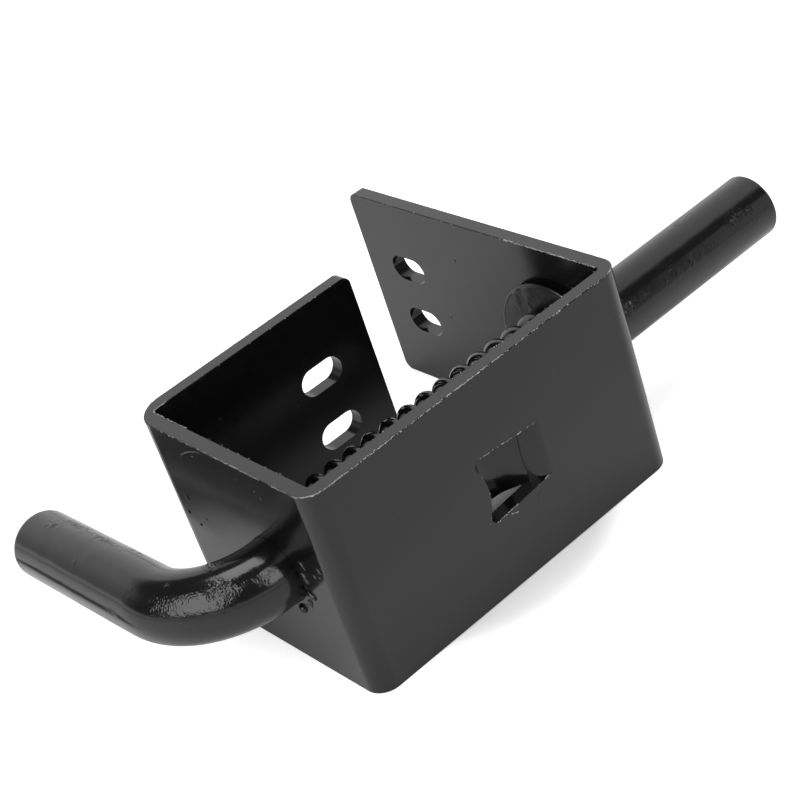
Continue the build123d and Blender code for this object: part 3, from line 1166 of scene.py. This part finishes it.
def card():
    """A card in front to the right, pale but for a soft slanting left edge and a soft top."""
    stage = settings("stage")
    material, tree = stage_tree("card")
    x, _, z = separated(tree, coordinates(tree))
    slanted = math_node(tree, "MULTIPLY_ADD", z, -CARD_LEAN, x)
    from_top = smooth_step(tree, z, *(FLOOR + height for height in CARD_TOP_BLUR))
    lit = math_node(tree, "MULTIPLY", smooth_step(tree, slanted, *CARD_LEFT_BLUR), from_top)
    strength = math_node(tree, "MULTIPLY_ADD", lit, stage.card - stage.room, stage.room)
    glow = add_node(tree, "ShaderNodeEmission", Strength=strength)
    add_node(tree, "ShaderNodeOutputMaterial", Surface=glow.outputs[0])
    top = FLOOR + CARD_HEIGHT
    corners = ((CARD_LEFT, FLOOR), (CARD_RIGHT, FLOOR), (CARD_RIGHT, top), (CARD_LEFT, top))
    piece = stage_sheet("card", [(x, -stage.card_away, z) for x, z in corners], material)
    piece.visible_camera = False


# The room's soft edges, each from where it starts to where it is full: the white rim over the table,
# in heights where straight up is 1, and the backdrop's left, right and top. Headings are in degrees
# from +Y towards +X, and the backdrop's top climbs between two of them
RIM = (0.16, 0.06)
BACKDROP_LEFT = (-56, 0)
BACKDROP_RIGHT = (122, 104)
BACKDROP_CLIMB = (5, 45)
BACKDROP_LOW, BACKDROP_GAIN = 0.56, 0.36
BACKDROP_TOP = (0.06, -0.08)


def make_world():
    """A dark room over a white table's rim, with a pale backdrop behind and to the right."""
    stage = settings("stage")
    world = bpy.data.worlds.new("studio")
    bpy.context.scene.world = world
    world.use_nodes = True
    tree = world.node_tree
    x, y, z = separated(tree, coordinates(tree, "Generated"))
    heading = math_node(tree, "ARCTAN2", x, y)
    right_of, left_of, climb = (
        smooth_step(tree, heading, *(radians(end) for end in ends))
        for ends in (BACKDROP_LEFT, BACKDROP_RIGHT, BACKDROP_CLIMB)
    )
    ceiling = math_node(tree, "MULTIPLY_ADD", climb, BACKDROP_GAIN, BACKDROP_LOW)
    under = smooth_step(tree, math_node(tree, "SUBTRACT", z, ceiling), *BACKDROP_TOP)
    behind = math_node(tree, "MULTIPLY", math_node(tree, "MULTIPLY", right_of, left_of), under)
    pale = math_node(tree, "MAXIMUM", smooth_step(tree, z, *RIM), behind)
    level = math_node(tree, "MULTIPLY_ADD", pale, stage.backdrop - stage.room, stage.room)
    feed(tree, tree.nodes["Background"], Color=(1, 1, 1, 1),
         Strength=math_node(tree, "MAXIMUM", level, camera_ray(tree)))


# Operators, one for each piece and one for the stage

class LATCH_OT_bracket(bpy.types.Operator):
    """Make the bent plate bracket"""
    bl_idname = "latch.bracket"
    bl_label = "Bracket"

    def execute(self, context):
        plate = settings("bracket")
        piece = new_object("bracket_skin", bracket_mesh(), "bracket_gloss")
        bevel = piece.modifiers.new("rounded_edges", "BEVEL")
        bevel.width = plate.edge_rounding
        bevel.segments = 3
        bevel.limit_method = "ANGLE"
        bevel.angle_limit = plate.sharp_angle
        bevel.use_clamp_overlap = True
        piece.modifiers.new("flat_faces", "WEIGHTED_NORMAL")
        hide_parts("bracket")
        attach(piece, "bracket")
        return {"FINISHED"}


class LATCH_OT_rod(bpy.types.Operator):
    """Make the latch rod with its bent handle"""
    bl_idname = "latch.rod"
    bl_label = "Latch rod"

    def execute(self, context):
        piece = new_object("latch_rod_skin", rod_mesh(), "rod_gloss")
        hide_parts("latch_rod")
        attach(piece, "rod")
        return {"FINISHED"}


class LATCH_OT_spring(bpy.types.Operator):
    """Make the compression spring"""
    bl_idname = "latch.spring"
    bl_label = "Spring"

    def execute(self, context):
        piece = new_object("spring_coil", spring_mesh(), "spring_gloss")
        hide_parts("spring")
        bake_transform(piece)
        return {"FINISHED"}


class LATCH_OT_washer(bpy.types.Operator):
    """Make the washer under the spring, and finish the stop ring"""
    bl_idname = "latch.washer"
    bl_label = "Washer and stop ring"

    def execute(self, context):
        piece = new_object("thrust_washer_skin", washer_mesh(), "washer_gloss")
        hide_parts("thrust_washer")
        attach(piece, "washer")
        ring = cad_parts["stop_ring"]
        for slot in ring.material_slots:
            slot.material = bpy.data.materials["ring_gloss"]
        return {"FINISHED"}


class LATCH_OT_wear(bpy.types.Operator):
    """Scatter the chips along the plate's edge, and the lumps and specks in the paint"""
    bl_idname = "latch.wear"
    bl_label = "Chips, lumps and specks"

    def execute(self, context):
        paint = settings("paint")
        chips = run_tree(chip_tree(), "edge_chips", edge_mesh(), {
            "Spacing": paint.chip_spacing,
            "Size": paint.chip_size,
            "Aside": paint.chip_aside,
            "Seed": paint.seed,
            "Material": bpy.data.materials["chipped_steel"],
        })
        keep_inside(chips, BRACKET_LOW, BRACKET_HIGH)
        piece = new_object("edge_chips", chips, "chipped_steel")
        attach(piece, "bracket")
        lumps = lumps_mesh()
        keep_inside(lumps, *CAD_BOX)
        piece = new_object("bracket_lumps", lumps, "bracket_gloss")
        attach(piece, "bracket")
        nibs = nib_tree()
        for body, skin in (("bracket", "bracket_skin"), ("rod", "latch_rod_skin")):
            mesh = run_tree(nibs, body + "_specks", bpy.data.objects[skin].data.copy(), {
                "Size": paint.nib_size,
                "Density": paint.nib_density,
                "Seed": paint.seed,
                "Material": bpy.data.materials[body + "_gloss"],
            })
            keep_inside(mesh, *CAD_BOX)
            mesh.shade_smooth()
            piece = new_object(body + "_specks", mesh, body + "_gloss")
            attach(piece, body)
        return {"FINISHED"}


class LATCH_OT_stage(bpy.types.Operator):
    """Set up the table, the lamps, the card, the room and the camera"""
    bl_idname = "latch.stage"
    bl_label = "Stage"

    def execute(self, context):
        stage = settings("stage")
        scene = context.scene
        half = 4.0
        corners = [(half * x, half * y, FLOOR) for x, y in ((-1, -1), (1, -1), (1, 1), (-1, 1))]
        top = stage_sheet("table", corners, table_material())
        for box in SOFTBOXES:
            softbox(*box)
        card()
        make_world()
        lens = bpy.data.cameras.new("camera")
        lens.lens = stage.lens
        lens.sensor_width = 36
        lens.clip_start = 0.01
        eye = put_in_scene("camera", lens)
        eye.location = stage.eye
        eye.rotation_euler = Euler(stage.turn)
        scene.camera = eye
        scene.view_settings.view_transform = "Standard"
        return {"FINISHED"}


OPERATORS = (LATCH_OT_bracket, LATCH_OT_rod, LATCH_OT_spring, LATCH_OT_washer, LATCH_OT_wear, LATCH_OT_stage)


class LATCH_PT_panel(bpy.types.Panel):
    """Sizes, colours and steps of the latch"""
    bl_idname = "LATCH_PT_panel"
    bl_label = "Gate spring latch"
    bl_space_type = "VIEW_3D"
    bl_region_type = "UI"
    bl_category = "Latch"

    def draw(self, context):
        for operator in OPERATORS:
            self.layout.operator(operator.bl_idname)
        for name, group in GROUPS.items():
            box = self.layout.box()
            box.label(text=name.capitalize())
            for field in group.__annotations__:
                box.prop(settings(name), field)


CLASSES = (*GROUPS.values(), *OPERATORS, LATCH_PT_panel)


def register():
    """Adds the classes, and the property groups to the scene."""
    for item in CLASSES:
        bpy.utils.register_class(item)
    for name, group in GROUPS.items():
        setattr(bpy.types.Scene, "latch_" + name, PointerProperty(type=group))


def unregister():
    """Takes the property groups and the classes away again."""
    for name in GROUPS:
        delattr(bpy.types.Scene, "latch_" + name)
    for item in reversed(CLASSES):
        bpy.utils.unregister_class(item)


def main():
    """Builds the whole scene."""
    register()
    make_finishes()
    for operator in OPERATORS:
        area, name = operator.bl_idname.split(".")
        getattr(getattr(bpy.ops, area), name)()


if __name__ == "__main__":
    main()
